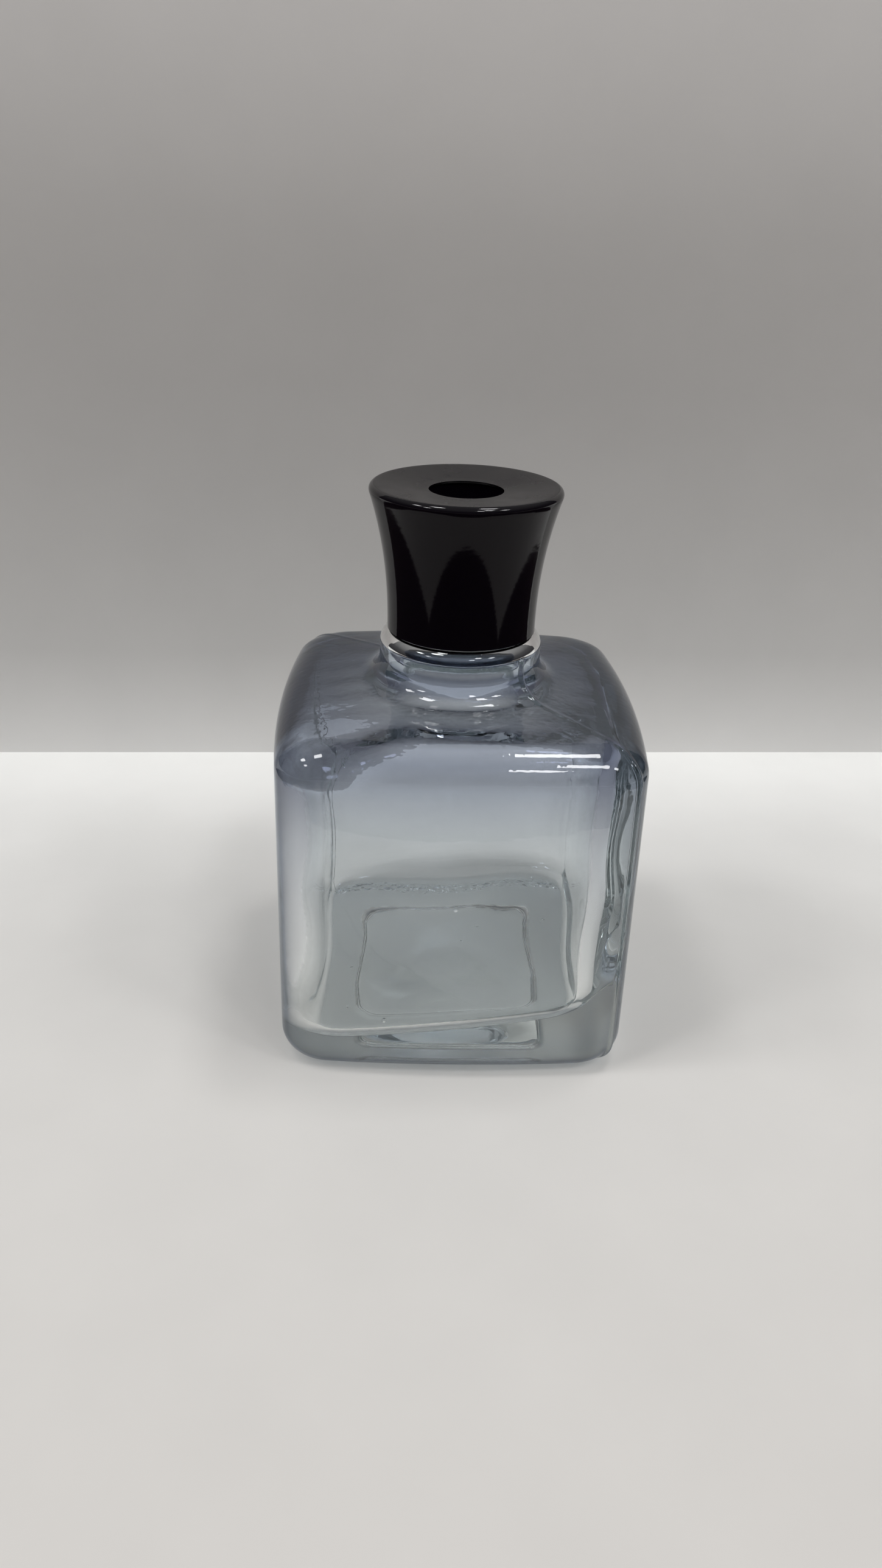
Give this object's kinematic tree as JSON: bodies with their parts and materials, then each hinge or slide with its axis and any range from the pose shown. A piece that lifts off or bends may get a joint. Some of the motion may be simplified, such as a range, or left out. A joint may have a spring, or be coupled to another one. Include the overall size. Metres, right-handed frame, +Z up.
{
  "type": "aftershave bottle",
  "caption": "Square heavy-based glass bottle with a sprayed grey shoulder, a neck ring and a flared black screw collar with an open round mouth.",
  "frame": {"origin": "middle of the base, on the surface the bottle stands on", "axes": "+Z up along the neck and collar; the front face looks along -Y and the thicker side of the glass floor is at +X"},
  "size_m": [0.06, 0.06, 0.0922],
  "materials": {
    "tinted_glass": "clear glass with a blue-grey spray that fades from the shoulder to the base",
    "insert_plastic": "soft natural polyethylene",
    "seal_foam": "matt closed-cell foam",
    "liner_plastic": "black polypropylene",
    "collar_black": "polished black"
  },
  "bodies": {
    "bottle": {"glass_bottle": "tinted_glass", "pour_insert": "insert_plastic"},
    "seal": {"sealing_ring": "seal_foam"},
    "collar": {"threaded_liner": "liner_plastic", "collar_shell": "collar_black"}
  },
  "joints": [
    {"name": "collar_lift", "type": "slide", "parent": "bottle", "child": "seal", "axis": [0, 0, 1], "range_m": [0, 0.0048]},
    {"name": "collar_turn", "type": "hinge", "parent": "seal", "child": "collar", "pos_m": [0, 0, 0.06915], "axis": [0, 0, 1], "range_deg": [0, 540]}
  ],
  "couplings": [
    {"joint": "collar_lift", "follows": "collar_turn", "m_per_rad": 0.00050532}
  ]
}
